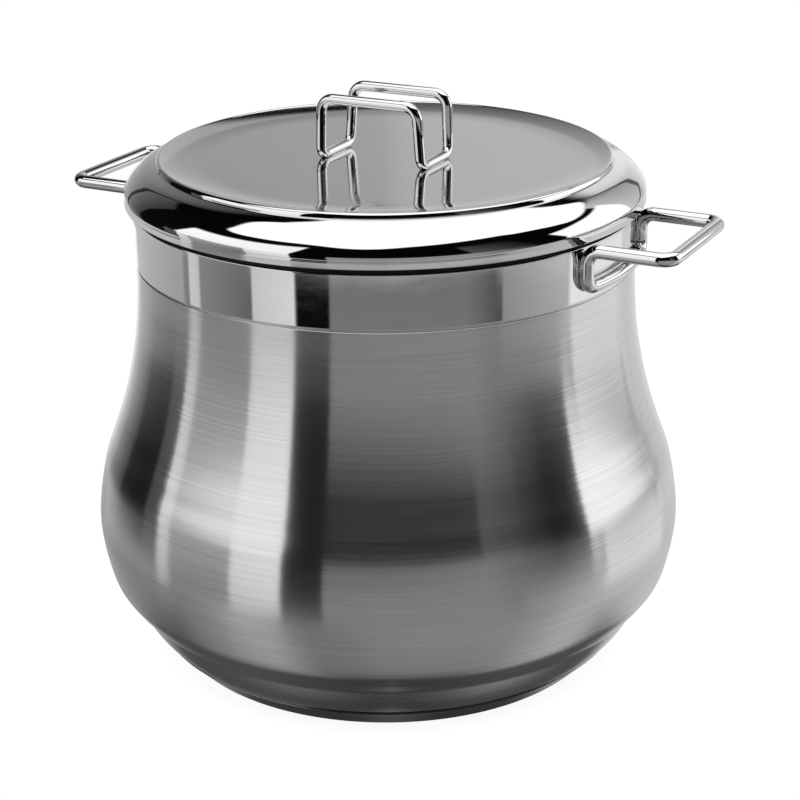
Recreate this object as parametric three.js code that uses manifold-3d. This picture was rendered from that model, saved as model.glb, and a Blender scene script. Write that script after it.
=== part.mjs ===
// Bellied stockpot for hot soup, with a lift-off lid.
// Millimetres, +Z up. The origin is the centre of the flat base that the pot stands on.
// X runs through the two side handles.

import * as THREE from "three";
import Module from "manifold-3d";
import { mergeVertices } from "three/addons/utils/BufferGeometryUtils.js";

const wasm = await Module();
wasm.setup();

// ---- driving dimensions ---------------------------------------------------------------

const GAP = 0.3;                 // clearance between neighbouring solids
const TURN_SEGMENTS = 48;        // facets round every turned part

// pot
const WALL = 1.2;                // sheet thickness of the pot
const COLLAR_RADIUS = 120.4;
const NECK_RADIUS = 120;
const BELLY_RADIUS = 144.6;
const BELLY_HEIGHT = 68;         // where the belly is widest
const SHOE_RADIUS = 118.4;       // lower edge of the pot wall, just above the base seam
const GROOVE_HEIGHT = 198.4;     // line between brushed belly and polished collar
const GROOVE_DEPTH = 0.5;
const RIM_HEIGHT = 224;
const RIM_CHAMFER = 0.4;         // on both edges of the rim

// encapsulated base
const CAP_FOOT_RADIUS = 108.5;   // flat standing face
const CAP_TOP_RADIUS = 118.2;
const CAP_HEIGHT = 10.2;
const CAP_SHEET = 0.9;
const CORE_RADIUS = 106;
const POT_FLOOR = 10.5;          // underside of the pot's flat bottom

// lid
const LID_SHEET = 1;
const LID_EDGE_RADIUS = 124.2;
const LID_EDGE_BOTTOM = 227.2;   // the lid's edge hangs over a recess above the rim
const LID_EDGE_TOP = 230;
const LID_FOOT_RADIUS = LID_EDGE_RADIUS - 0.1;
const PLATE_HEIGHT = 244.3;      // flat top face, which rises to the bead in a shallow dish
const PLATE_RADIUS = 84;
const BEAD_RADIUS = 106.2;       // inner edge of the bead
const BEAD_HEIGHT = 247.3;
const DISH_SLOPE = 0.29;         // rise per length where the dish meets the bead
const DISH_STEEP = 3.5;          // length of the dish that keeps close to that slope
const DISH_EASE = 11;            // length over which the dish leaves the flat top
const CREASE_RADIUS = 108.8;     // outer foot of the bead
const CREASE_HEIGHT = 245.1;
const SEAT_RADIUS = 118.4;       // outside of the ring that drops into the collar
const SEAT_DEPTH = 8.5;
const SEAT_SHEET = 1;
const SEAT_STEP_RADIUS = 120;     // the step of the ring that rests on the rim
const SEAT_STEP = RIM_HEIGHT + GAP;
const SEAT_ROOF = LID_EDGE_BOTTOM + 0.2;   // underside of the ring's outer flange

// side handles, one closed loop of rod each
const SIDE_ROD = 3.25;           // rod radius
const SIDE_REACH = 157;          // centre line of the outer bar
const SIDE_HALF_WIDTH = 33.4;
const SIDE_TOP = 223.2;
const SIDE_BOTTOM = 205.3;
const SIDE_BEND = 6.5;
const SIDE_SADDLE = 121.5;       // the rod's wall side is ground to this radius
const SIDE_CENTRE = SIDE_SADDLE + 1.1;
const WELD_WIDTH = 3;

// lid handle, one closed loop of rod with two arches
const LID_ROD = 2.5;
const LID_HANDLE_TOP = 274.1;
const LID_HANDLE_TOP_X = 24.9;
const LID_HANDLE_TOP_Y = 15.9;
const LID_HANDLE_FOOT_X = 26.4;
const LID_HANDLE_FOOT_Y = 14.6;
const LID_HANDLE_BEND = 6.5;
const LID_HANDLE_FOOT_BEND = 5;
const RUNG_GROUND = PLATE_HEIGHT + 0.9;   // the rungs are ground flat to this height
const RUNG_CENTRE = PLATE_HEIGHT + 1.7;

// ---- materials ------------------------------------------------------------------------

function metal(colour, roughness) {
  return new THREE.MeshStandardMaterial({ color: colour, roughness, metalness: 1 });
}

const BRUSHED_STEEL = () => metal(0x9c9da0, 0.34);
const POLISHED_STEEL = () => metal(0xc9cacd, 0.08);
const SATIN_STEEL = () => metal(0xaaaab0, 0.2);
const BASE_STEEL = () => metal(0x6f7073, 0.4);
const ALUMINIUM = () => metal(0xb9bcc0, 0.45);

// ---- geometry helpers -----------------------------------------------------------------

const v2 = (x, y) => new THREE.Vector2(x, y);
const v3 = (x, y, z) => new THREE.Vector3(x, y, z);

// A solid turned about Z from a profile of (radius, height) points. The profile runs up on
// the outside and down on the inside, and starts and ends on the axis or closes on itself.
function turned(profile, closed = false) {
  const points = closed ? [...profile, profile[0].clone()] : profile;
  const geometry = new THREE.LatheGeometry(points, TURN_SEGMENTS);
  geometry.rotateX(Math.PI / 2);
  return geometry;
}

// The same curve moved sideways by a distance, to the left of its direction of travel.
function offset(points, distance) {
  return points.map((point, i) => {
    const before = points[Math.max(i - 1, 0)];
    const after = points[Math.min(i + 1, points.length - 1)];
    const along = after.clone().sub(before).normalize();
    return v2(point.x - along.y * distance, point.y + along.x * distance);
  });
}

function toSolid(geometry) {
  const bare = geometry.clone();
  bare.deleteAttribute("normal");
  bare.deleteAttribute("uv");
  const merged = mergeVertices(bare, 1e-4);
  return new wasm.Manifold(new wasm.Mesh({
    numProp: 3,
    vertProperties: new Float32Array(merged.attributes.position.array),
    triVerts: new Uint32Array(merged.index.array),
  }));
}

function toGeometry(solid) {
  const result = solid.getMesh();
  const geometry = new THREE.BufferGeometry();
  geometry.setAttribute("position", new THREE.BufferAttribute(result.vertProperties, 3));
  geometry.setIndex(new THREE.BufferAttribute(result.triVerts, 1));
  geometry.computeVertexNormals();
  return geometry;
}

// Straight and arc pieces joined end to end: each corner is rounded by its own bend radius.
function bentPath(corners) {
  const path = new THREE.CurvePath();
  let start = corners[0].at;
  for (let i = 1; i < corners.length - 1; i++) {
    const { at, bend } = corners[i];
    const back = corners[i - 1].at.clone().sub(at).normalize();
    const ahead = corners[i + 1].at.clone().sub(at).normalize();
    const halfTurn = (Math.PI - back.angleTo(ahead)) / 2;
    const reach = bend * Math.tan(halfTurn);
    const handle = (4 / 3) * bend * Math.tan(halfTurn / 2);
    const enter = at.clone().addScaledVector(back, reach);
    const leave = at.clone().addScaledVector(ahead, reach);
    path.add(new THREE.LineCurve3(start, enter));
    path.add(new THREE.CubicBezierCurve3(
      enter,
      enter.clone().addScaledVector(back, -handle),
      leave.clone().addScaledVector(ahead, -handle),
      leave,
    ));
    start = leave;
  }
  path.add(new THREE.LineCurve3(start, corners.at(-1).at));
  return path;
}

// A round rod along a path, its section drawn with ten sides.
function rod(path, radius, steps) {
  const circle = new THREE.Path().absarc(0, 0, radius, 0, 2 * Math.PI);
  const section = new THREE.Shape(circle.getPoints(5));
  const options = { extrudePath: path, steps, bevelEnabled: false };
  return toSolid(new THREE.ExtrudeGeometry(section, options));
}

// ---- pot ------------------------------------------------------------------------------

// Outer wall from the base seam up to the groove: a rounded shoe, a hollow above it, the
// wide belly, and a neck that runs up almost straight.
function bellyOutline() {
  const shoe = new THREE.CubicBezierCurve(
    v2(SHOE_RADIUS, POT_FLOOR + 0.4), v2(124, 16), v2(127, 22), v2(130.2, 28.4),
  );
  const curve = new THREE.SplineCurve([
    v2(130.2, 28.4), v2(136.2, 35.2), v2(140.9, 44.4), v2(BELLY_RADIUS, BELLY_HEIGHT),
    v2(141, 94), v2(135.4, 110.5), v2(129.8, 127), v2(125.4, 144.5), v2(122, 164),
    v2(120.4, 183), v2(NECK_RADIUS, GROOVE_HEIGHT - 1),
  ]);
  return [...shoe.getPoints(3), ...curve.getPoints(15).slice(1)];
}

function kettleBody() {
  const belly = bellyOutline();
  const groove = [
    v2(NECK_RADIUS - GROOVE_DEPTH, GROOVE_HEIGHT - 0.4),
    v2(COLLAR_RADIUS, GROOVE_HEIGHT + 0.4),
  ];
  const rim = [
    v2(COLLAR_RADIUS, RIM_HEIGHT - RIM_CHAMFER),
    v2(COLLAR_RADIUS - RIM_CHAMFER, RIM_HEIGHT),
    v2(COLLAR_RADIUS - WALL + RIM_CHAMFER, RIM_HEIGHT),
    v2(COLLAR_RADIUS - WALL, RIM_HEIGHT - RIM_CHAMFER),
  ];
  const inside = offset(belly, WALL).reverse();
  const floor = POT_FLOOR + WALL;
  const innerFoot = inside.filter((point) => point.y > floor + 3);
  return turned([
    v2(0, POT_FLOOR),
    v2(SHOE_RADIUS - 6, POT_FLOOR),
    ...belly,
    ...groove,
    ...rim,
    ...innerFoot,
    v2(SHOE_RADIUS - 4.5, floor),
    v2(0, floor),
  ]);
}

// ---- encapsulated base ----------------------------------------------------------------

function capOutline() {
  const curve = new THREE.QuadraticBezierCurve(
    v2(CAP_FOOT_RADIUS, 0), v2(112, 3.4), v2(CAP_TOP_RADIUS, CAP_HEIGHT),
  );
  return curve.getPoints(4);
}

function baseCap() {
  const outside = capOutline();
  return turned([
    v2(0, 0),
    ...outside,
    v2(SHOE_RADIUS - 4.4, CAP_HEIGHT),
    v2(CORE_RADIUS + 1.6, CAP_HEIGHT - 4.6),
    v2(CORE_RADIUS + GAP, CAP_SHEET),
    v2(0, CAP_SHEET),
  ]);
}

function baseCore() {
  const bottom = CAP_SHEET + GAP;
  const top = POT_FLOOR - GAP;
  return turned([
    v2(0, bottom),
    v2(CORE_RADIUS - 1, bottom),
    v2(CORE_RADIUS, bottom + 2),
    v2(CORE_RADIUS, top),
    v2(0, top),
  ]);
}

// ---- lid ------------------------------------------------------------------------------

// Outside of the lid, from its edge over the round shoulder and the bead, down the shallow
// dish to the flat top.
function lidOutline() {
  const shoulder = new THREE.SplineCurve([
    v2(LID_EDGE_RADIUS, LID_EDGE_TOP), v2(123.9, 233.4), v2(121.6, 237.2),
    v2(118.2, 240.6), v2(114.4, 243.2), v2(CREASE_RADIUS, CREASE_HEIGHT),
  ]);
  const bead = new THREE.CubicBezierCurve(
    v2(CREASE_RADIUS, CREASE_HEIGHT), v2(CREASE_RADIUS - 0.2, BEAD_HEIGHT - 0.1),
    v2(BEAD_RADIUS + 1.3, BEAD_HEIGHT + 0.7), v2(BEAD_RADIUS, BEAD_HEIGHT),
  );
  const dish = new THREE.CubicBezierCurve(
    v2(BEAD_RADIUS, BEAD_HEIGHT),
    v2(BEAD_RADIUS - DISH_STEEP, BEAD_HEIGHT - DISH_STEEP * DISH_SLOPE),
    v2(PLATE_RADIUS + DISH_EASE, PLATE_HEIGHT), v2(PLATE_RADIUS, PLATE_HEIGHT),
  );
  return [
    v2(LID_FOOT_RADIUS, LID_EDGE_BOTTOM),
    ...shoulder.getPoints(7),
    ...bead.getPoints(4).slice(1),
    ...dish.getPoints(5).slice(1),
  ];
}

function lidShell() {
  const outside = lidOutline();
  const underside = offset(outside, LID_SHEET).reverse();
  return turned([
    v2(0, PLATE_HEIGHT - LID_SHEET),
    ...underside.slice(0, -1),
    v2(LID_FOOT_RADIUS - LID_SHEET, LID_EDGE_BOTTOM),
    ...outside,
    v2(0, PLATE_HEIGHT),
  ]);
}

// Sheet ring inside the lid's edge, folded into two steps: the lower step rests on the pot's
// rim, with a flange that drops into the collar, and the upper one meets the lid's edge.
function lidSeatRing() {
  const outer = LID_FOOT_RADIUS - LID_SHEET - GAP;
  return turned([
    v2(SEAT_RADIUS, SEAT_STEP - SEAT_DEPTH),
    v2(SEAT_RADIUS, SEAT_STEP),
    v2(SEAT_STEP_RADIUS, SEAT_STEP),
    v2(SEAT_STEP_RADIUS, SEAT_ROOF),
    v2(outer, SEAT_ROOF),
    v2(outer, SEAT_ROOF + SEAT_SHEET),
    v2(SEAT_STEP_RADIUS - SEAT_SHEET, SEAT_ROOF + SEAT_SHEET),
    v2(SEAT_STEP_RADIUS - SEAT_SHEET, SEAT_STEP + SEAT_SHEET),
    v2(SEAT_RADIUS - SEAT_SHEET, SEAT_STEP + SEAT_SHEET),
    v2(SEAT_RADIUS - SEAT_SHEET, SEAT_STEP - SEAT_DEPTH),
  ], true);
}

// One side of the lid handle: half of the front bar, a leg, the rung, the other leg and half
// of the rear bar.
function lidHandleSide(side) {
  const overlap = -0.4 * side;
  const top = (y) => v3(side * LID_HANDLE_TOP_X, y * LID_HANDLE_TOP_Y, LID_HANDLE_TOP);
  const foot = (y) => v3(side * LID_HANDLE_FOOT_X, y * LID_HANDLE_FOOT_Y, RUNG_CENTRE);
  const path = bentPath([
    { at: v3(overlap, -LID_HANDLE_TOP_Y, LID_HANDLE_TOP) },
    { at: top(-1), bend: LID_HANDLE_BEND },
    { at: foot(-1), bend: LID_HANDLE_FOOT_BEND },
    { at: foot(1), bend: LID_HANDLE_FOOT_BEND },
    { at: top(1), bend: LID_HANDLE_BEND },
    { at: v3(overlap, LID_HANDLE_TOP_Y, LID_HANDLE_TOP) },
  ]);
  return rod(path, LID_ROD, 44);
}

function lidHandle() {
  const loop = lidHandleSide(1).add(lidHandleSide(-1));
  const ground = new THREE.BoxGeometry(80, 60, 10);
  ground.translate(0, 0, RUNG_GROUND - 5);
  return toGeometry(loop.subtract(toSolid(ground)));
}

function lidWeld(side) {
  const weld = new THREE.BoxGeometry(2.6, 2 * (LID_HANDLE_FOOT_Y - LID_HANDLE_FOOT_BEND), 0.3);
  weld.translate(side * LID_HANDLE_FOOT_X, 0, PLATE_HEIGHT + GAP + 0.15);
  return weld;
}

// ---- side handles ---------------------------------------------------------------------

// Half a side handle: half of the outer bar, an arm, a leg down the collar, half the rung.
function sideHandleHalf(side) {
  const legX = Math.sqrt(SIDE_CENTRE ** 2 - SIDE_HALF_WIDTH ** 2);
  const legY = side * SIDE_HALF_WIDTH;
  const rungBend = SIDE_BEND - 1;
  const legAngle = Math.atan2(SIDE_HALF_WIDTH, legX);
  const onWall = (angle) => v3(
    SIDE_CENTRE * Math.cos(angle), side * SIDE_CENTRE * Math.sin(angle), SIDE_BOTTOM,
  );
  const path = bentPath([
    { at: v3(SIDE_REACH, -0.4 * side, SIDE_TOP) },
    { at: v3(SIDE_REACH, legY, SIDE_TOP), bend: SIDE_BEND },
    { at: v3(legX, legY, SIDE_TOP), bend: SIDE_BEND },
    { at: v3(legX, legY, SIDE_BOTTOM), bend: rungBend },
    { at: onWall(legAngle * 0.6), bend: 60 },
    { at: onWall(legAngle * 0.2), bend: 60 },
    { at: v3(SIDE_CENTRE * Math.cos(legAngle * 0.2), -0.4 * side, SIDE_BOTTOM) },
  ]);
  return rod(path, SIDE_ROD, 42);
}

function sideHandle() {
  const wall = turned([v2(0, 190), v2(SIDE_SADDLE, 190), v2(SIDE_SADDLE, 240), v2(0, 240)]);
  const loop = sideHandleHalf(1).add(sideHandleHalf(-1));
  return toGeometry(loop.subtract(toSolid(wall)));
}

// A thin strip of weld between rod and collar, on an arc of the wall.
function wallWeld(centreAngle, halfAngle, bottom, top) {
  const inner = COLLAR_RADIUS + GAP;
  const outer = SIDE_SADDLE - GAP;
  const from = centreAngle - halfAngle;
  const to = centreAngle + halfAngle;
  const strip = new THREE.Shape();
  strip.absarc(0, 0, outer, from, to, false);
  strip.absarc(0, 0, inner, to, from, true);
  strip.closePath();
  const geometry = new THREE.ExtrudeGeometry(strip, {
    depth: top - bottom, curveSegments: 4, bevelEnabled: false,
  });
  geometry.translate(0, 0, bottom);
  return geometry;
}

const LEG_ANGLE = Math.asin(SIDE_HALF_WIDTH / SIDE_CENTRE);

function legWeld(side) {
  const half = WELD_WIDTH / 2 / SIDE_SADDLE;
  return wallWeld(side * LEG_ANGLE, half, SIDE_BOTTOM + SIDE_BEND, SIDE_TOP - SIDE_BEND);
}

function rungWeld() {
  const bottom = SIDE_BOTTOM - WELD_WIDTH / 2;
  return wallWeld(0, LEG_ANGLE * 0.72, bottom, bottom + WELD_WIDTH);
}

// ---- assembly -------------------------------------------------------------------------

function piece(name, geometry, material) {
  const mesh = new THREE.Mesh(geometry, material);
  mesh.name = name;
  return mesh;
}

// A side handle and its three welds, built on +X and turned round Z to its place.
function sideHandleGroup(side, turn) {
  const group = new THREE.Group();
  group.rotation.z = turn;
  group.add(
    piece(`side_handle_${side}`, sideHandle(), POLISHED_STEEL()),
    piece(`weld_${side}_leg_a`, legWeld(-1), SATIN_STEEL()),
    piece(`weld_${side}_leg_b`, legWeld(1), SATIN_STEEL()),
    piece(`weld_${side}_rung`, rungWeld(), SATIN_STEEL()),
  );
  return group;
}

function potGroup() {
  const group = new THREE.Group();
  group.add(
    piece("kettle_body", kettleBody(), BRUSHED_STEEL()),
    piece("base_core", baseCore(), ALUMINIUM()),
    piece("base_cap", baseCap(), BASE_STEEL()),
    sideHandleGroup("right", 0),
    sideHandleGroup("left", Math.PI),
  );
  return group;
}

function lidGroup() {
  const group = new THREE.Group();
  group.add(
    piece("lid_shell", lidShell(), POLISHED_STEEL()),
    piece("lid_seat_ring", lidSeatRing(), SATIN_STEEL()),
    piece("lid_handle", lidHandle(), POLISHED_STEEL()),
    piece("weld_lid_right", lidWeld(1), SATIN_STEEL()),
    piece("weld_lid_left", lidWeld(-1), SATIN_STEEL()),
  );
  return group;
}

const kettle = new THREE.Group();
kettle.add(potGroup(), lidGroup());

export default kettle;
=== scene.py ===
"""A bellied steel soup kettle: fine meshes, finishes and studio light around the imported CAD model.

Metres in the scene. Sizes below are in millimetres, with +Z up and +X through the right-hand
side handle, and they repeat the CAD model's driving dimensions.
"""

import math

import bpy
from mathutils import Matrix, Vector


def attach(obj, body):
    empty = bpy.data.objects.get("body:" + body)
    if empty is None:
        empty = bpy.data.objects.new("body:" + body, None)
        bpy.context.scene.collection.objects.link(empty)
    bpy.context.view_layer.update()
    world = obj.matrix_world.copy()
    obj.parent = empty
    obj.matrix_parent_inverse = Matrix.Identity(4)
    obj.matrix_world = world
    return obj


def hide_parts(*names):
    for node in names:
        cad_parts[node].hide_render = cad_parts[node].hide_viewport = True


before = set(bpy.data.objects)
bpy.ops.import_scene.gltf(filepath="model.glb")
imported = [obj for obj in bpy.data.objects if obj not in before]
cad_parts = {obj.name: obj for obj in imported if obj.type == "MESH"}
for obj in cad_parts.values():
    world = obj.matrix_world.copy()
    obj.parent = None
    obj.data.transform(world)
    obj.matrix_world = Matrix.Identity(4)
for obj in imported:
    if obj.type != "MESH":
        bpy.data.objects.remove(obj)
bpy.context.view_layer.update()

MM = 0.001
TURN_STEPS = 288            # facets round every turned piece
ROD_SIDES = 28

# ---- sizes (mm) ---------------------------------------------------------------------------

WALL = 1.2
COLLAR_RADIUS = 120.4
NECK_RADIUS = 120.0
SHOE_RADIUS = 118.4
GROOVE_HEIGHT = 198.4
RIM_HEIGHT = 224.0
RIM_CHAMFER = 0.4
LIP_ROUND = 0.4             # where the collar turns into the groove
POT_FLOOR = 10.5

CAP_FOOT_RADIUS = 108.5
CAP_TOP_RADIUS = 118.2
CAP_HEIGHT = 10.2
CAP_SHEET = 0.9
CORE_RADIUS = 106.0

GAP = 0.3                   # clearance between neighbouring solids
LID_SHEET = 1.0
LID_EDGE_RADIUS = 124.2
LID_EDGE_BOTTOM = 227.2
LID_EDGE_TOP = 230.0
LID_FOOT_RADIUS = LID_EDGE_RADIUS - 0.1
LID_FOOT_ROUND = 0.25
PLATE_HEIGHT = 244.3
PLATE_RADIUS = 84.0
BEAD_RADIUS = 106.2
BEAD_HEIGHT = 247.3
DISH_SLOPE = 0.29
DISH_STEEP = 3.5
DISH_EASE = 11.0
CREASE_RADIUS = 108.8
CREASE_HEIGHT = 245.1
SEAT_RADIUS = 118.4
SEAT_DEPTH = 8.5
SEAT_SHEET = 1.0
SEAT_STEP_RADIUS = 120.0
SEAT_STEP = RIM_HEIGHT + GAP
SEAT_ROOF = LID_EDGE_BOTTOM + 0.2

SIDE_ROD = 3.25
SIDE_REACH = 157.0
SIDE_HALF_WIDTH = 33.4
SIDE_TOP = 223.2
SIDE_BOTTOM = 205.3
SIDE_BEND = 6.5
SIDE_CENTRE = 122.6
SIDE_CONTACT = COLLAR_RADIUS + 0.1      # the rod is ground to lie on the collar
SIDE_LEG_BEND = SIDE_BEND - 1.0
RUNG_BEND = 60.0                        # the rung follows the collar
SIDE_WELD = (2.9, 0.9)                  # half width and height of a bead of weld

LID_ROD = 2.5
LID_HANDLE_TOP = 274.1
LID_HANDLE_TOP_X = 24.9
LID_HANDLE_TOP_Y = 15.9
LID_HANDLE_FOOT_X = 26.4
LID_HANDLE_FOOT_Y = 14.6
LID_HANDLE_BEND = 6.5
LID_HANDLE_FOOT_BEND = 5.0
RUNG_CENTRE = PLATE_HEIGHT + 1.7
RUNG_CONTACT = PLATE_HEIGHT + 0.1
LID_WELD = (2.3, 0.7)
WELD_SEAT = 0.05                        # a weld's foot above the surface under it

# ---- camera -------------------------------------------------------------------------------

CAMERA_AZIMUTH = math.radians(27.66)    # from -Y towards +X
CAMERA_DISTANCE = 0.9432                # from the pot's axis
CAMERA_HEIGHT = 0.4861
CAMERA_YAW = 0.0066
CAMERA_PITCH = -0.3698
CAMERA_ROLL = -0.0081
CAMERA_LENS = 91.35                     # on a 36 mm sensor


# ---- outlines, as (radius, height) --------------------------------------------------------

def spline(points, steps):
    """A smooth curve through the points, with its end points repeated."""
    ends = [points[0], *points, points[-1]]
    result = []
    for a, b, c, d in zip(ends, ends[1:], ends[2:], ends[3:]):
        for i in range(steps):
            t = i / steps
            result.append(tuple(
                0.5 * (2 * q + (r - p) * t + (2 * p - 5 * q + 4 * r - s) * t**2
                       + (3 * q - p - 3 * r + s) * t**3)
                for p, q, r, s in zip(a, b, c, d)
            ))
    return result + [points[-1]]


def bezier(a, b, c, d, steps):
    result = []
    for i in range(steps + 1):
        t = i / steps
        weights = ((1 - t)**3, 3 * (1 - t)**2 * t, 3 * (1 - t) * t**2, t**3)
        result.append(tuple(sum(w * v for w, v in zip(weights, column)) for column in zip(a, b, c, d)))
    return result


def arc(centre, radius, from_degrees, to_degrees, steps):
    result = []
    for i in range(steps + 1):
        angle = math.radians(from_degrees + (to_degrees - from_degrees) * i / steps)
        result.append((centre[0] + radius * math.cos(angle), centre[1] + radius * math.sin(angle)))
    return result


def offset(points, distance):
    """The same outline moved to the left of its direction of travel."""
    result = []
    for i, point in enumerate(points):
        before = Vector(points[max(i - 1, 0)])
        after = Vector(points[min(i + 1, len(points) - 1)])
        along = (after - before).normalized()
        result.append((point[0] - along.y * distance, point[1] + along.x * distance))
    return result


def belly_outline():
    shoe = bezier((SHOE_RADIUS, POT_FLOOR + 0.4), (124, 16), (127, 22), (130.2, 28.4), 14)
    belly = spline([
        (130.2, 28.4), (136.2, 35.2), (140.9, 44.4), (144.6, 68), (141, 94), (135.4, 110.5),
        (129.8, 127), (125.4, 144.5), (122, 164), (120.4, 183), (NECK_RADIUS, GROOVE_HEIGHT - 1),
    ], 12)
    return shoe + belly[1:]


def collar_outline():
    """From the bottom of the groove up the straight collar to the rim's upper face. Close points
    at both ends keep the collar's shading level between them."""
    lip = arc((COLLAR_RADIUS - LIP_ROUND, GROOVE_HEIGHT + 0.7), LIP_ROUND, -60, 0, 4)
    ends = [(COLLAR_RADIUS, GROOVE_HEIGHT + 1.0), (COLLAR_RADIUS, RIM_HEIGHT - RIM_CHAMFER - 0.3)]
    corner = (COLLAR_RADIUS - RIM_CHAMFER, RIM_HEIGHT - RIM_CHAMFER)
    return lip + ends + arc(corner, RIM_CHAMFER, 0, 90, 5)


def shoulder_outline():
    """The lid from the foot of its edge up to the crease at the bead."""
    shoulder = spline([
        (LID_EDGE_RADIUS, LID_EDGE_TOP), (123.9, 233.4), (121.6, 237.2), (118.2, 240.6),
        (114.4, 243.2), (CREASE_RADIUS, CREASE_HEIGHT),
    ], 10)
    centre = (LID_EDGE_RADIUS - LID_FOOT_ROUND, LID_EDGE_BOTTOM + LID_FOOT_ROUND)
    foot = arc(centre, LID_FOOT_ROUND, -70, 0, 4)
    skirt = [(LID_EDGE_RADIUS, LID_EDGE_BOTTOM + 0.4), (LID_EDGE_RADIUS, LID_EDGE_TOP - 0.3)]
    return foot + skirt + shoulder


def bead_outline():
    """Over the bead, from the crease to its inner edge."""
    return bezier(
        (CREASE_RADIUS, CREASE_HEIGHT), (CREASE_RADIUS - 0.2, BEAD_HEIGHT - 0.1),
        (BEAD_RADIUS + 1.3, BEAD_HEIGHT + 0.7), (BEAD_RADIUS, BEAD_HEIGHT), 14,
    )


def dish_outline():
    """The shallow dish, from the bead down to the flat top."""
    return bezier(
        (BEAD_RADIUS, BEAD_HEIGHT), (BEAD_RADIUS - DISH_STEEP, BEAD_HEIGHT - DISH_STEEP * DISH_SLOPE),
        (PLATE_RADIUS + DISH_EASE, PLATE_HEIGHT), (PLATE_RADIUS, PLATE_HEIGHT), 20,
    )


# ---- mesh builders ------------------------------------------------------------------------

def new_piece(name, points, faces, materials, face_materials=None, sharp_degrees=35):
    """A smooth-shaded mesh object from points in millimetres."""
    mesh = bpy.data.meshes.new(name)
    mesh.from_pydata([tuple(c * MM for c in point) for point in points], [], faces)
    for material in materials:
        mesh.materials.append(material)
    if face_materials:
        mesh.polygons.foreach_set("material_index", face_materials)
    mesh.polygons.foreach_set("use_smooth", [True] * len(faces))
    mesh.set_sharp_from_angle(angle=math.radians(sharp_degrees))
    mesh.validate()
    piece = bpy.data.objects.new(name, mesh)
    bpy.context.scene.collection.objects.link(piece)
    return piece


def turned(name, stretches, materials, closed=False):
    """A body turned about Z. Each stretch is (outline, material index), and they run on from
    one another. An open profile starts and ends on the axis."""
    profile, owners = [], []
    for outline, owner in stretches:
        profile += outline
        owners += [owner] * len(outline)
    points, rings = [], []
    for radius, height in profile:
        first = len(points)
        if radius < 1e-6:
            points.append((0, 0, height))
            rings.append([first] * TURN_STEPS)
            continue
        for step in range(TURN_STEPS):
            angle = 2 * math.pi * step / TURN_STEPS
            points.append((radius * math.cos(angle), radius * math.sin(angle), height))
        rings.append([first + step for step in range(TURN_STEPS)])
    faces, face_materials = [], []
    pairs = list(zip(range(len(rings) - 1), range(1, len(rings))))
    if closed:
        pairs.append((len(rings) - 1, 0))
    for low, high in pairs:
        for step in range(TURN_STEPS):
            ahead = (step + 1) % TURN_STEPS
            corners = [rings[low][step], rings[low][ahead], rings[high][ahead], rings[high][step]]
            corners = list(dict.fromkeys(corners))
            faces.append(corners)
            face_materials.append(owners[high])
    return new_piece(name, points, faces, materials, face_materials)


def rounded_loop(corners):
    """A closed line through (point, bend radius) corners, each rounded by an arc."""
    line = []
    for i, (at, bend) in enumerate(corners):
        at = Vector(at)
        back = (Vector(corners[i - 1][0]) - at).normalized()
        ahead = (Vector(corners[(i + 1) % len(corners)][0]) - at).normalized()
        half = back.angle(ahead) / 2
        centre = at + (back + ahead).normalized() * (bend / math.sin(half))
        start = at + back * (bend / math.tan(half)) - centre
        turn = math.pi - 2 * half
        axis = start.cross(at + ahead * (bend / math.tan(half)) - centre).normalized()
        steps = max(3, math.ceil(math.degrees(turn) / 6))
        for step in range(steps + 1):
            line.append(centre + Matrix.Rotation(turn * step / steps, 3, axis) @ start)
    return line


def rod_loop(name, line, radius, grind, material):
    """A closed round rod along a line. grind moves a point that lies behind the ground face."""
    count = len(line)
    tangents = [(line[(i + 1) % count] - line[i - 1]).normalized() for i in range(count)]
    side = tangents[0].orthogonal().normalized()
    sides = [side]
    for i in range(1, count + 1):
        side = tangents[i - 1].rotation_difference(tangents[i % count]) @ side
        sides.append(side)
    twist = sides[-1].angle(sides[0])
    if sides[-1].cross(sides[0]).dot(tangents[0]) < 0:
        twist = -twist
    points = []
    for i, (centre, tangent) in enumerate(zip(line, tangents)):
        side = Matrix.Rotation(twist * i / count, 3, tangent) @ sides[i]
        for step in range(ROD_SIDES):
            turn = Matrix.Rotation(2 * math.pi * step / ROD_SIDES, 3, tangent)
            points.append(grind(centre + turn @ side * radius))
    faces = []
    for i in range(count):
        here, there = i * ROD_SIDES, ((i + 1) % count) * ROD_SIDES
        for step in range(ROD_SIDES):
            ahead = (step + 1) % ROD_SIDES
            faces.append([here + step, here + ahead, there + ahead, there + step])
    return new_piece(name, points, faces, [material])


def weld_bead(name, line, outward, half_width, height, material):
    """A low bead of weld along an open line on a surface, tapered at both ends."""
    section = arc((0, 0), 1, 0, 180, 10)
    points, faces = [], []
    last = len(line) - 1
    for i, centre in enumerate(line):
        tangent = (line[min(i + 1, last)] - line[max(i - 1, 0)]).normalized()
        normal = outward(centre)
        across = normal.cross(tangent).normalized()
        end = min(i, last - i) / 3
        size = 1 if end >= 1 else 0.3 + 0.7 * math.sin(end * math.pi / 2)
        for x, y in section:
            points.append(centre + across * (x * half_width * size) + normal * (y * height * size))
    width = len(section)
    for i in range(last):
        for step in range(width):
            ahead = (step + 1) % width
            faces.append([
                i * width + step, i * width + ahead, (i + 1) * width + ahead, (i + 1) * width + step,
            ])
    faces.append(list(range(width))[::-1])
    faces.append([last * width + step for step in range(width)])
    return new_piece(name, points, faces, [material])


# ---- shader helpers -----------------------------------------------------------------------

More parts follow.
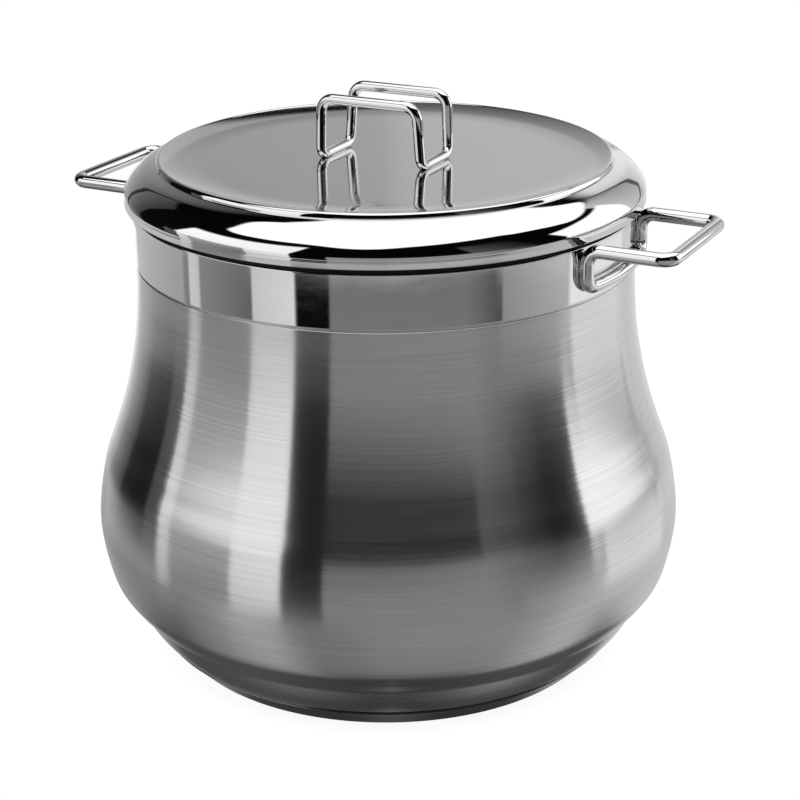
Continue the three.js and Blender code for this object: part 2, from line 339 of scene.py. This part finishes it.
class Graph:
    """Short calls for building a node tree."""

    def __init__(self, tree):
        self.tree = tree
        tree.nodes.clear()

    def add(self, kind, inputs=None, **settings):
        node = self.tree.nodes.new(kind)
        for name, value in settings.items():
            setattr(node, name, value)
        for name, value in (inputs or {}).items():
            self.feed(node.inputs[name], value)
        return node

    def feed(self, socket, value):
        if isinstance(value, bpy.types.NodeSocket):
            self.tree.links.new(value, socket)
        else:
            socket.default_value = value

    def math(self, operation, *values):
        inputs = dict(enumerate(values))
        return self.add("ShaderNodeMath", inputs, operation=operation).outputs[0]

    def vector(self, operation, *values):
        inputs = dict(enumerate(values))
        return self.add("ShaderNodeVectorMath", inputs, operation=operation).outputs["Vector"]

    def remap(self, value, low, high, to_low=0.0, to_high=1.0, smooth=False):
        node = self.add("ShaderNodeMapRange", {
            "Value": value, "From Min": low, "From Max": high, "To Min": to_low, "To Max": to_high,
        }, interpolation_type="SMOOTHSTEP" if smooth else "LINEAR")
        return node.outputs["Result"]

    def curve(self, value, points, low, high):
        """A smooth function through (value, result) points, given over low to high."""
        share = self.remap(value, low, high)
        node = self.add("ShaderNodeFloatCurve", {"Value": share})
        line = node.mapping.curves[0]
        for x, y in points[1:-1]:
            line.points.new((x - low) / (high - low), y)
        line.points[0].location = (0, points[0][1])
        line.points[-1].location = (1, points[-1][1])
        node.mapping.use_clip = False
        node.mapping.update()
        return node.outputs["Value"]

    def noise(self, stretch, scale, detail=2.0, roughness=0.5):
        """Noise in object space, with its lengths divided by stretch along X, Y and Z."""
        place = self.add("ShaderNodeTexCoord").outputs["Object"]
        scaled = self.vector("MULTIPLY", place, stretch)
        node = self.add("ShaderNodeTexNoise", {
            "Vector": scaled, "Scale": scale, "Detail": detail, "Roughness": roughness,
        })
        return node.outputs["Fac"]


def new_material(name):
    material = bpy.data.materials.new(name)
    material.use_nodes = True
    return material, Graph(material.node_tree)


def finish_material(graph, **inputs):
    """Adds the shader and the output. Inputs are the shader's sockets by name."""
    shader = graph.add("ShaderNodeBsdfPrincipled", {"Metallic": 1.0, **inputs})
    graph.add("ShaderNodeOutputMaterial", {"Surface": shader.outputs["BSDF"]})
    return shader


def tinted(graph, value, colour, spread):
    """A colour that a 0 to 1 value lightens and darkens by a share."""
    factor = graph.remap(value, 0.3, 0.7, 1 - spread, 1 + spread)
    node = graph.add("ShaderNodeVectorMath", {0: colour, "Scale": factor}, operation="SCALE")
    return node.outputs["Vector"]


# ---- finishes -----------------------------------------------------------------------------

def brushed_belly():
    """Satin from a belt that ran round the pot: fine grooves along the turn, so reflections
    stay narrow sideways and are drawn out up and down."""
    material, graph = new_material("brushed_belly")
    fine = graph.noise((9, 9, 1200), 1.0, 3)
    broad = graph.noise((4, 4, 700), 1.0, 2)
    both = graph.math("ADD", graph.math("MULTIPLY", fine, 0.7), graph.math("MULTIPLY", broad, 0.3))
    normal = graph.add("ShaderNodeNewGeometry").outputs["Normal"]
    along = graph.add("ShaderNodeTangent", direction_type="RADIAL", axis="Z").outputs["Tangent"]
    lean = graph.remap(fine, 0.3, 0.7, -0.003, 0.003)
    shift = graph.add("ShaderNodeVectorMath", {0: along, "Scale": lean}, operation="SCALE")
    leaning = graph.vector("NORMALIZE", graph.vector("ADD", normal, shift.outputs["Vector"]))
    bump = graph.add("ShaderNodeBump", {
        "Height": fine, "Strength": 0.12, "Distance": 0.00004, "Normal": leaning,
    })
    finish_material(graph, **{
        "Base Color": tinted(graph, fine, (0.59, 0.59, 0.595), 0.07),
        "Roughness": graph.remap(both, 0.25, 0.75, 0.16, 0.18),
        "Anisotropic": 1.0,
        "Anisotropic Rotation": 0.25,
        "Tangent": along,
        "Normal": bump.outputs["Normal"],
    })
    return material


def polished(name, colour, roughness):
    """Mirror polish with faint waviness and a little buffing haze."""
    material, graph = new_material(name)
    wave = graph.noise((1, 1, 1), 16.0, 2)
    haze = graph.noise((1, 1, 3), 90.0, 4)
    bump = graph.add("ShaderNodeBump", {"Height": wave, "Strength": 0.06, "Distance": 0.0006})
    finish_material(graph, **{
        "Base Color": tinted(graph, haze, colour, 0.015),
        "Roughness": graph.remap(haze, 0.3, 0.7, roughness * 0.8, roughness * 1.3),
        "Normal": bump.outputs["Normal"],
    })
    return material


def satin_plate():
    """The lid's flat top: nearly a mirror, with fine grain that softens what it shows."""
    material, graph = new_material("satin_plate")
    grain = graph.noise((900, 900, 1), 1.0, 3)
    cloud = graph.noise((1, 1, 1), 22.0, 2)
    bump = graph.add("ShaderNodeBump", {"Height": grain, "Strength": 0.03, "Distance": 0.00003})
    finish_material(graph, **{
        "Base Color": tinted(graph, cloud, (0.63, 0.63, 0.645), 0.012),
        "Roughness": graph.remap(grain, 0.3, 0.7, 0.075, 0.1),
        "Normal": bump.outputs["Normal"],
    })
    return material


def satin(name, colour, roughness, grain_size):
    """Even satin metal with fine grain: the welds, the inside of pot and lid, the base darkened as
    painted shade, and the recess under the lid's edge, painted near-black as shadow.
    """
    material, graph = new_material(name)
    grain = graph.noise((1, 1, 1), 1 / grain_size, 3)
    bump = graph.add("ShaderNodeBump", {"Height": grain, "Strength": 0.15, "Distance": 0.00005})
    finish_material(graph, **{
        "Base Color": tinted(graph, grain, colour, 0.05),
        "Roughness": graph.remap(grain, 0.3, 0.7, roughness * 0.9, roughness * 1.15),
        "Normal": bump.outputs["Normal"],
    })
    return material


BELLY = brushed_belly()
COLLAR = polished("polished_collar", (0.63, 0.63, 0.635), 0.045)
LID = polished("polished_lid", (0.66, 0.66, 0.665), 0.035)
ROD = polished("polished_rod", (0.66, 0.66, 0.665), 0.05)
PLATE = satin_plate()
INSIDE = satin("satin_inside", (0.60, 0.60, 0.61), 0.3, 0.0012)
# Near-black colour for the recess under the lid's edge: painted shadow of the crevice between lid and
# rim.
SEAT_SHADOW_PAINT = satin("painted_shadow_recess", (0.02, 0.02, 0.02), 0.5, 0.0012)
WELD = satin("satin_weld", (0.55, 0.55, 0.56), 0.28, 0.0009)
# The base cap's dark colour is painted shade: the steel is darkened for the shadowed contact area under
# the belly.
BASE_PAINTED_SHADE = satin("brushed_base_painted_shade", (0.20, 0.20, 0.21), 0.22, 0.0007)
ALUMINIUM = satin("rolled_aluminium", (0.75, 0.75, 0.76), 0.42, 0.0016)


# ---- pot ----------------------------------------------------------------------------------

def settle(piece, body, slot, *nodes):
    """The piece takes the CAD nodes' place and moves with their body. The slot is not used."""
    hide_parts(*nodes)
    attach(piece, body)


def kettle_body():
    belly = belly_outline()
    inside = [point for point in reversed(offset(belly, WALL)) if point[1] > POT_FLOOR + WALL + 3]
    piece = turned("kettle_body_fine", [
        ([(0, POT_FLOOR), (SHOE_RADIUS - 6, POT_FLOOR)], 1),
        (belly, 0),
        ([(NECK_RADIUS - 0.5, GROOVE_HEIGHT - 0.5), (NECK_RADIUS - 0.5, GROOVE_HEIGHT)], 1),
        (collar_outline(), 2),
        ([(COLLAR_RADIUS - WALL + RIM_CHAMFER, RIM_HEIGHT)], 2),
        ([(COLLAR_RADIUS - WALL, RIM_HEIGHT - RIM_CHAMFER)], 2),
        (inside, 1),
        ([(SHOE_RADIUS - 4.5, POT_FLOOR + WALL), (0, POT_FLOOR + WALL)], 1),
    ], [BELLY, INSIDE, COLLAR])
    settle(piece, "pot", "pot_steel", "kettle_body")


def base_cap():
    side = bezier(
        (CAP_FOOT_RADIUS, 0), (110.8, 2.3), (114, 5.7), (CAP_TOP_RADIUS, CAP_HEIGHT - 0.4), 12,
    )
    piece = turned("base_cap_fine", [
        ([(0, 0)], 0),
        (side, 0),
        ([(CAP_TOP_RADIUS - 0.4, CAP_HEIGHT), (SHOE_RADIUS - 4.4, CAP_HEIGHT)], 0),
        ([(CORE_RADIUS + 1.6, CAP_HEIGHT - 4.6), (CORE_RADIUS + 0.3, CAP_SHEET), (0, CAP_SHEET)], 0),
    ], [BASE_PAINTED_SHADE])
    settle(piece, "pot", "base_steel", "base_cap")


def on_collar(angle, height, radius=SIDE_CENTRE):
    return Vector((radius * math.cos(angle), radius * math.sin(angle), height))


def grind_to_collar(point):
    radius = math.hypot(point.x, point.y)
    if radius >= SIDE_CONTACT:
        return point
    scale = SIDE_CONTACT / radius
    return Vector((point.x * scale, point.y * scale, point.z))


def side_handle_line():
    leg_x = math.sqrt(SIDE_CENTRE**2 - SIDE_HALF_WIDTH**2)
    leg_angle = math.atan2(SIDE_HALF_WIDTH, leg_x)
    shares = (-0.6, -0.2, 0.2, 0.6)
    rung = [(on_collar(share * leg_angle, SIDE_BOTTOM), RUNG_BEND) for share in shares]
    return rounded_loop([
        ((SIDE_REACH, SIDE_HALF_WIDTH, SIDE_TOP), SIDE_BEND),
        ((SIDE_REACH, -SIDE_HALF_WIDTH, SIDE_TOP), SIDE_BEND),
        ((leg_x, -SIDE_HALF_WIDTH, SIDE_TOP), SIDE_BEND),
        ((leg_x, -SIDE_HALF_WIDTH, SIDE_BOTTOM), SIDE_LEG_BEND),
        *rung,
        ((leg_x, SIDE_HALF_WIDTH, SIDE_BOTTOM), SIDE_LEG_BEND),
        ((leg_x, SIDE_HALF_WIDTH, SIDE_TOP), SIDE_BEND),
    ])


def side_handle_welds():
    """The three welds of a side handle, as (part name, line on the collar)."""
    leg_angle = math.asin(SIDE_HALF_WIDTH / SIDE_CENTRE)
    wall = COLLAR_RADIUS + WELD_SEAT
    low, high = SIDE_BOTTOM + SIDE_BEND, SIDE_TOP - SIDE_BEND
    heights = [low + (high - low) * i / 12 for i in range(13)]
    angles = [leg_angle * 0.72 * (i / 12 - 1) for i in range(25)]
    return [
        ("leg_a", [on_collar(-leg_angle, height, wall) for height in heights]),
        ("leg_b", [on_collar(leg_angle, height, wall) for height in heights]),
        ("rung", [on_collar(angle, SIDE_BOTTOM, wall) for angle in angles]),
    ]


def away_from_axis(point):
    return Vector((point.x, point.y, 0)).normalized()


def side_handle(side, turn):
    place = Matrix.Rotation(turn, 4, "Z")
    made = [(
        rod_loop(f"side_handle_{side}_fine", side_handle_line(), SIDE_ROD, grind_to_collar, ROD),
        "rod_steel", f"side_handle_{side}",
    )]
    for part, line in side_handle_welds():
        node = f"weld_{side}_{part}"
        bead = weld_bead(f"{node}_fine", line, away_from_axis, *SIDE_WELD, WELD)
        made.append((bead, "satin_steel", node))
    for piece, slot, node in made:
        piece.data.transform(place)
        settle(piece, "pot", slot, node)


# ---- lid ----------------------------------------------------------------------------------

def lid_shell():
    shoulder = shoulder_outline()
    bead = bead_outline()
    dish = dish_outline()
    underside = offset(shoulder + bead[1:] + dish[1:], LID_SHEET)[::-1]
    piece = turned("lid_shell_fine", [
        ([(0, PLATE_HEIGHT - LID_SHEET)], 2),
        (underside[:-1], 2),
        ([(LID_FOOT_RADIUS - LID_SHEET, LID_EDGE_BOTTOM)], 2),
        (shoulder, 0),
        (bead[1:], 0),
        (dish[1:] + [(0, PLATE_HEIGHT)], 1),
    ], [LID, PLATE, INSIDE])
    settle(piece, "lid", "lid_steel", "lid_shell")


def lid_seat_ring():
    outer = LID_FOOT_RADIUS - LID_SHEET - GAP
    piece = turned("lid_seat_ring_fine", [
        ([(SEAT_RADIUS, SEAT_STEP - SEAT_DEPTH), (SEAT_RADIUS, SEAT_STEP)], 0),
        ([(SEAT_STEP_RADIUS, SEAT_STEP)], 0),
        # The riser and the roof's underside in the gap under the lid's edge get the near-black painted
        # shadow.
        ([(SEAT_STEP_RADIUS, SEAT_ROOF), (outer, SEAT_ROOF)], 1),
        ([(outer, SEAT_ROOF + SEAT_SHEET), (SEAT_STEP_RADIUS - SEAT_SHEET, SEAT_ROOF + SEAT_SHEET)], 0),
        ([(SEAT_STEP_RADIUS - SEAT_SHEET, SEAT_STEP + SEAT_SHEET)], 0),
        ([(SEAT_RADIUS - SEAT_SHEET, SEAT_STEP + SEAT_SHEET)], 0),
        ([(SEAT_RADIUS - SEAT_SHEET, SEAT_STEP - SEAT_DEPTH)], 0),
    ], [INSIDE, SEAT_SHADOW_PAINT], closed=True)
    settle(piece, "lid", "satin_steel", "lid_seat_ring")


def grind_to_plate(point):
    return Vector((point.x, point.y, max(point.z, RUNG_CONTACT)))


def lid_handle():
    def top(x, y):
        return (x * LID_HANDLE_TOP_X, y * LID_HANDLE_TOP_Y, LID_HANDLE_TOP), LID_HANDLE_BEND

    def foot(x, y):
        return (x * LID_HANDLE_FOOT_X, y * LID_HANDLE_FOOT_Y, RUNG_CENTRE), LID_HANDLE_FOOT_BEND

    line = rounded_loop([
        top(-1, -1), top(1, -1), foot(1, -1), foot(1, 1),
        top(1, 1), top(-1, 1), foot(-1, 1), foot(-1, -1),
    ])
    piece = rod_loop("lid_handle_fine", line, LID_ROD, grind_to_plate, ROD)
    settle(piece, "lid", "rod_steel", "lid_handle")


def straight_up(_point):
    return Vector((0, 0, 1))


def lid_welds():
    reach = LID_HANDLE_FOOT_Y - LID_HANDLE_FOOT_BEND
    for side, name in ((1, "weld_lid_right"), (-1, "weld_lid_left")):
        line = [
            Vector((side * LID_HANDLE_FOOT_X, reach * (i / 8 - 1), PLATE_HEIGHT + WELD_SEAT))
            for i in range(17)
        ]
        bead = weld_bead(f"{name}_fine", line, straight_up, *LID_WELD, WELD)
        settle(bead, "lid", "satin_steel", name)


# ---- stage --------------------------------------------------------------------------------

# The studio that the steel reflects, all of it far away. Directions are in degrees: azimuth 0 is
# towards the camera and grows to the camera's right, elevation is above level. Each card has its
# azimuth from and to, then pairs for its left and right end: the elevation of its bottom and of
# its top, and the brightness along its bottom and along its top. Last is the softness of its
# upright edges and of its level ones. Later cards cover earlier ones.
CARDS = {
    "back_left": (-181, -148, (-6, -6), (44, 42), (0.75, 0.40), (0.10, 0.02), (1.0, 3.0)),
    "back_left_foot": (-181, -157, (-19, -19), (-6, -6), (1.2, 1.0), (1.4, 1.1), (1.0, 1.5)),
    "left_foot": (-157, -136, (-19, -19), (-4, -4), (0.70, 0.62), (0.50, 0.33), (1.0, 1.5)),
    "left_card": (-147, -129, (-16, -16), (35, 33), (0.36, 0.06), (0.10, 0.05), (0.8, 1.5)),
    "left_card_edge": (-147.5, -145.5, (-10, -10), (36, 36), (0.06, 0.06), (0.01, 0.01), (0.4, 1.0)),
    "left_black": (-129, -98, (-15.7, -16.3), (54, 46), (0.006, 0.006), (0.002, 0.002), (0.8, 0.3)),
    "left_low": (-98, -61, (-21, -21), (4, 4), (0.34, 0.14), (0.60, 0.50), (0.8, 2.0)),
    "far_left_floor": (-150, -103, (-22, -22), (-15.6, -16.2), (0.60, 0.50), (0.68, 0.50), (1.0, 0.2)),
    "left_streak": (-99, -92, (-21, -21), (8, 8), (0.85, 0.80), (1.2, 0.8), (0.8, 1.0)),
    "left_frame": (-108, -99, (-14, -14), (8, 8), (0.11, 0.11), (0.11, 0.11), (0.7, 1.5)),
    "left_softbox": (-101, -41, (6, 2), (32, 47), (1.35, 1.30), (1.50, 1.35), (0.8, 2.0)),
    "left_softbox_foot": (-62, -41, (-21, -21), (4, 4), (0.80, 1.0), (1.2, 1.2), (0.6, 2.0)),
    "front_floor": (-25, 52, (-22, -22), (0, 4), (0.34, 0.34), (0.38, 0.42), (0.7, 5.0)),
    "front_collar": (-25, 52, (-21, -21), (-17.8, -17.4), (0.32, 0.30), (0.23, 0.22), (0.7, 0.1)),
    "front_floor_end": (34, 53, (-21, -21), (-17.7, -17.2), (0.32, 0.12), (0.24, 0.08), (1.0, 0.1)),
    "grey_card": (36, 67, (8, 8), (45, 43), (0.13, 0.0), (0.07, 0.0), (1.0, 4.0)),
    "grey_card_foot": (36, 67, (-11, -11), (4, 4), (0.42, 0.0), (0.30, 0.0), (1.5, 4.0)),
    "dark_card": (66, 83, (-10, -10), (36, 36), (0.004, 0.003), (0.002, 0.002), (1.0, 1.0)),
    "right_low": (50, 88, (-17.7, -17.7), (-11, -10), (0.40, 0.80), (0.42, 0.50), (2.0, 0.8)),
    "right_floor": (53, 98, (-21, -21), (-17.7, -17.7), (0.36, 0.60), (0.40, 0.70), (1.0, 0.4)),
    "back_right": (150, 168, (-20, -20), (34, 30), (0.85, 0.9), (0.60, 1.2), (0.8, 3.0)),
    "back_far": (168, 181, (-20, -20), (34, 30), (0.80, 0.85), (0.60, 0.45), (2.0, 3.0)),
    "right_card": (126, 150, (-20, -20), (38, 36), (0.90, 0.85), (0.75, 0.20), (0.8, 1.5)),
    "right_foot": (90, 134, (-24, -24), (-9, -11), (1.10, 1.1), (1.3, 1.15), (1.5, 0.8)),
    "right_gap": (82, 131, (-9.5, -12), (-4.5, -6), (0.32, 0.32), (0.32, 0.32), (0.7, 0.5)),
    "right_line": (127, 150, (-14, 3), (-11, 6), (0.10, 0.14), (0.10, 0.14), (0.6, 0.8)),
    "right_edge": (148.5, 151.5, (3, 3), (40, 40), (0.16, 0.16), (0.05, 0.05), (0.5, 1.0)),
    "right_softbox": (82, 129, (-5, -4), (33, 33), (1.6, 1.6), (1.6, 1.5), (1.0, 1.2)),
    "flag": (-40.5, -25, (-20.8, -20.8), (48, 49), (0.002, 0.002), (0.002, 0.002), (0.8, 0.9)),
    "band_far_left": (
        -181, -100, (-15.9, -16.75), (-14.6, -15.4),
        (0.60, 0.72), (0.60, 0.72), (0.5, 0.05),
    ),
    "band_near_left": (
        -100, 0, (-16.75, -17.85), (-15.4, -16.4),
        (0.72, 0.52), (0.72, 0.52), (0.5, 0.05),
    ),
    "band_near_right": (
        0, 100, (-17.85, -16.75), (-16.4, -15.4),
        (0.56, 0.70), (0.56, 0.70), (0.5, 0.05),
    ),
    "band_far_right": (
        100, 181, (-16.75, -15.9), (-15.4, -14.6),
        (0.80, 0.72), (0.80, 0.72), (0.5, 0.05),
    ),
    "band_dim": (-92, -64, (-16.8, -17.1), (-15.5, -15.8), (0.27, 0.24), (0.27, 0.24), (2.0, 0.05)),
    "under_left": (-181, -102, (-91, -91), (-38, -38), (0.04, 0.04), (0.09, 0.10), (12.0, 5.0)),
    "under_right": (104, 181, (-91, -91), (-40, -40), (0.03, 0.03), (0.09, 0.09), (12.0, 5.0)),
}
CEILING_EDGE = [
    (-180, 44), (-165, 51), (-150, 57), (-118, 57), (-105, 52), (-95, 47), (-70, 50), (-45, 54),
    (-15, 52), (20, 57), (70, 56), (80, 52), (90, 48), (100, 42), (110, 38), (150, 39), (180, 42),
]
CEILING_BRIGHTNESS = 1.6
WALL_BRIGHTNESS = 0.002

# The floor lies under the cards. Its brightness is the product of both curves and the gain.
FLOOR_BY_ELEVATION = [
    (-90, 0.03), (-76, 0.09), (-68, 0.19), (-58, 0.29), (-50, 0.35), (-35, 0.35), (0, 0.36),
]
FLOOR_BY_AZIMUTH = [
    (-180, 0.80), (-150, 0.6), (-125, 0.46), (-90, 0.44), (-58, 0.76), (-32, 0.41), (0, 0.5),
    (50, 0.54), (95, 0.98), (155, 1.0), (180, 0.9),
]
FLOOR_GAIN = 2.0
FLOOR_TOP = -16
EDGE_SOFTNESS = 1            # of the floor's and the ceiling's edge

# The white floor that the camera sees, in metres.
FLOOR_RADIUS = 12
FLOOR_HEIGHT = -0.0004
SHADOW_REACH = 0.008
SHADOW_TONE = 0.93


def window(graph, value, low, high, soft):
    """1 between low and high, 0 outside, with soft edges."""
    rise = graph.math("DIVIDE", graph.math("SUBTRACT", value, low), soft)
    fall = graph.math("DIVIDE", graph.math("SUBTRACT", high, value), soft)
    return graph.remap(graph.math("MINIMUM", rise, fall), -1, 1, 0, 1, smooth=True)


def over(graph, below, above, mask):
    """The above brightness laid over the below one where the mask is 1."""
    node = graph.add("ShaderNodeMix", {"Factor": mask, "A": below, "B": above}, data_type="FLOAT")
    return node.outputs["Result"]


def between(graph, share, pair):
    """A value that runs from the pair's first number to its second."""
    if pair[0] == pair[1]:
        return pair[0]
    return graph.math("MULTIPLY_ADD", share, pair[1] - pair[0], pair[0])


def lay_card(graph, brightness, azimuth, elevation, card):
    left, right, bottom, top, low, high, soft = card
    across = graph.remap(azimuth, left, right)
    foot, head = between(graph, across, bottom), between(graph, across, top)
    upward = graph.remap(elevation, foot, head)
    shade = over(graph, between(graph, across, low), between(graph, across, high), upward)
    sides = window(graph, azimuth, left, right, soft[0])
    ends = window(graph, elevation, foot, head, soft[1])
    return over(graph, brightness, shade, graph.math("MULTIPLY", sides, ends))


def turned_azimuth(graph, direction):
    """Degrees about Z from the camera's side, growing to the camera's right, and the
    direction's height."""
    turned_round = graph.add("ShaderNodeVectorRotate", {
        "Vector": direction, "Angle": -CAMERA_AZIMUTH,
    }, rotation_type="Z_AXIS").outputs["Vector"]
    parts = graph.add("ShaderNodeSeparateXYZ", {"Vector": turned_round}).outputs
    toward = graph.math("MULTIPLY", parts["Y"], -1.0)
    return graph.math("DEGREES", graph.math("ARCTAN2", parts["X"], toward)), parts["Z"]


def studio_brightness(graph, azimuth, elevation):
    by_height = graph.curve(elevation, FLOOR_BY_ELEVATION, -90, 0)
    by_turn = graph.curve(azimuth, FLOOR_BY_AZIMUTH, -180, 180)
    floor = graph.math("MULTIPLY", graph.math("MULTIPLY", by_height, by_turn), FLOOR_GAIN)
    above_floor = graph.remap(
        elevation, FLOOR_TOP - EDGE_SOFTNESS, FLOOR_TOP + EDGE_SOFTNESS, 0, 1, smooth=True,
    )
    brightness = over(graph, floor, WALL_BRIGHTNESS, above_floor)
    for card in CARDS.values():
        brightness = lay_card(graph, brightness, azimuth, elevation, card)
    edges = [(turn, height / 90) for turn, height in CEILING_EDGE]
    edge = graph.math("MULTIPLY", graph.curve(azimuth, edges, -180, 180), 90.0)
    above_edge = graph.math("SUBTRACT", elevation, edge)
    in_ceiling = graph.remap(above_edge, -EDGE_SOFTNESS, EDGE_SOFTNESS, 0, 1, smooth=True)
    return over(graph, brightness, CEILING_BRIGHTNESS, in_ceiling)


def make_studio():
    """What the steel reflects, and plain white for the camera."""
    world = bpy.data.worlds.new("studio")
    world.use_nodes = True
    bpy.context.scene.world = world
    graph = Graph(world.node_tree)
    direction = graph.add("ShaderNodeTexCoord").outputs["Generated"]
    azimuth, height = turned_azimuth(graph, direction)
    elevation = graph.math("DEGREES", graph.math("ARCSINE", height))
    seen = graph.add("ShaderNodeLightPath").outputs["Is Camera Ray"]
    strength = over(graph, studio_brightness(graph, azimuth, elevation), 1.0, seen)
    backdrop = graph.add("ShaderNodeBackground", {"Color": (1, 1, 1, 1), "Strength": strength})
    graph.add("ShaderNodeOutputWorld", {"Surface": backdrop.outputs["Background"]})


def make_floor():
    """A white floor that glows evenly, with a faint soft shadow where the pot stands. The
    steel doesn't reflect it."""
    bpy.ops.mesh.primitive_circle_add(
        vertices=96, radius=FLOOR_RADIUS, fill_type="NGON", location=(0, 0, FLOOR_HEIGHT),
    )
    floor = bpy.context.active_object
    floor.name = "floor"
    material, graph = new_material("white_floor")
    open_sky = graph.add("ShaderNodeAmbientOcclusion", {"Distance": SHADOW_REACH}, samples=8)
    light = graph.remap(open_sky.outputs["AO"], 0, 1, SHADOW_TONE, 1.0)
    glow = graph.add("ShaderNodeEmission", {"Color": (1, 1, 1, 1), "Strength": light})
    graph.add("ShaderNodeOutputMaterial", {"Surface": glow.outputs["Emission"]})
    floor.data.materials.append(material)
    floor.visible_glossy = False
    floor.visible_diffuse = False


def make_camera():
    camera = bpy.data.objects.new("camera", bpy.data.cameras.new("camera"))
    camera.data.lens = CAMERA_LENS
    camera.data.sensor_width = 36
    forward = Vector((
        math.sin(CAMERA_YAW) * math.cos(CAMERA_PITCH),
        math.cos(CAMERA_YAW) * math.cos(CAMERA_PITCH),
        math.sin(CAMERA_PITCH),
    ))
    right = forward.cross(Vector((0, 0, 1))).normalized()
    up = right.cross(forward)
    tilt = Matrix.Rotation(-CAMERA_ROLL, 3, forward)
    right, up = tilt @ right, tilt @ up
    facing = Matrix((right, up, -forward)).transposed().to_4x4()
    place = Matrix.Translation((0, -CAMERA_DISTANCE, CAMERA_HEIGHT))
    camera.matrix_world = Matrix.Rotation(CAMERA_AZIMUTH, 4, "Z") @ place @ facing
    bpy.context.scene.collection.objects.link(camera)
    bpy.context.scene.camera = camera


# ---- build --------------------------------------------------------------------------------

kettle_body()
base_cap()
side_handle("right", 0)
side_handle("left", math.pi)
lid_shell()
lid_seat_ring()
lid_handle()
lid_welds()
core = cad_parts["base_core"]
core.data.materials.clear()
core.data.materials.append(ALUMINIUM)

make_studio()
make_floor()
make_camera()
bpy.context.scene.view_settings.view_transform = "Standard"
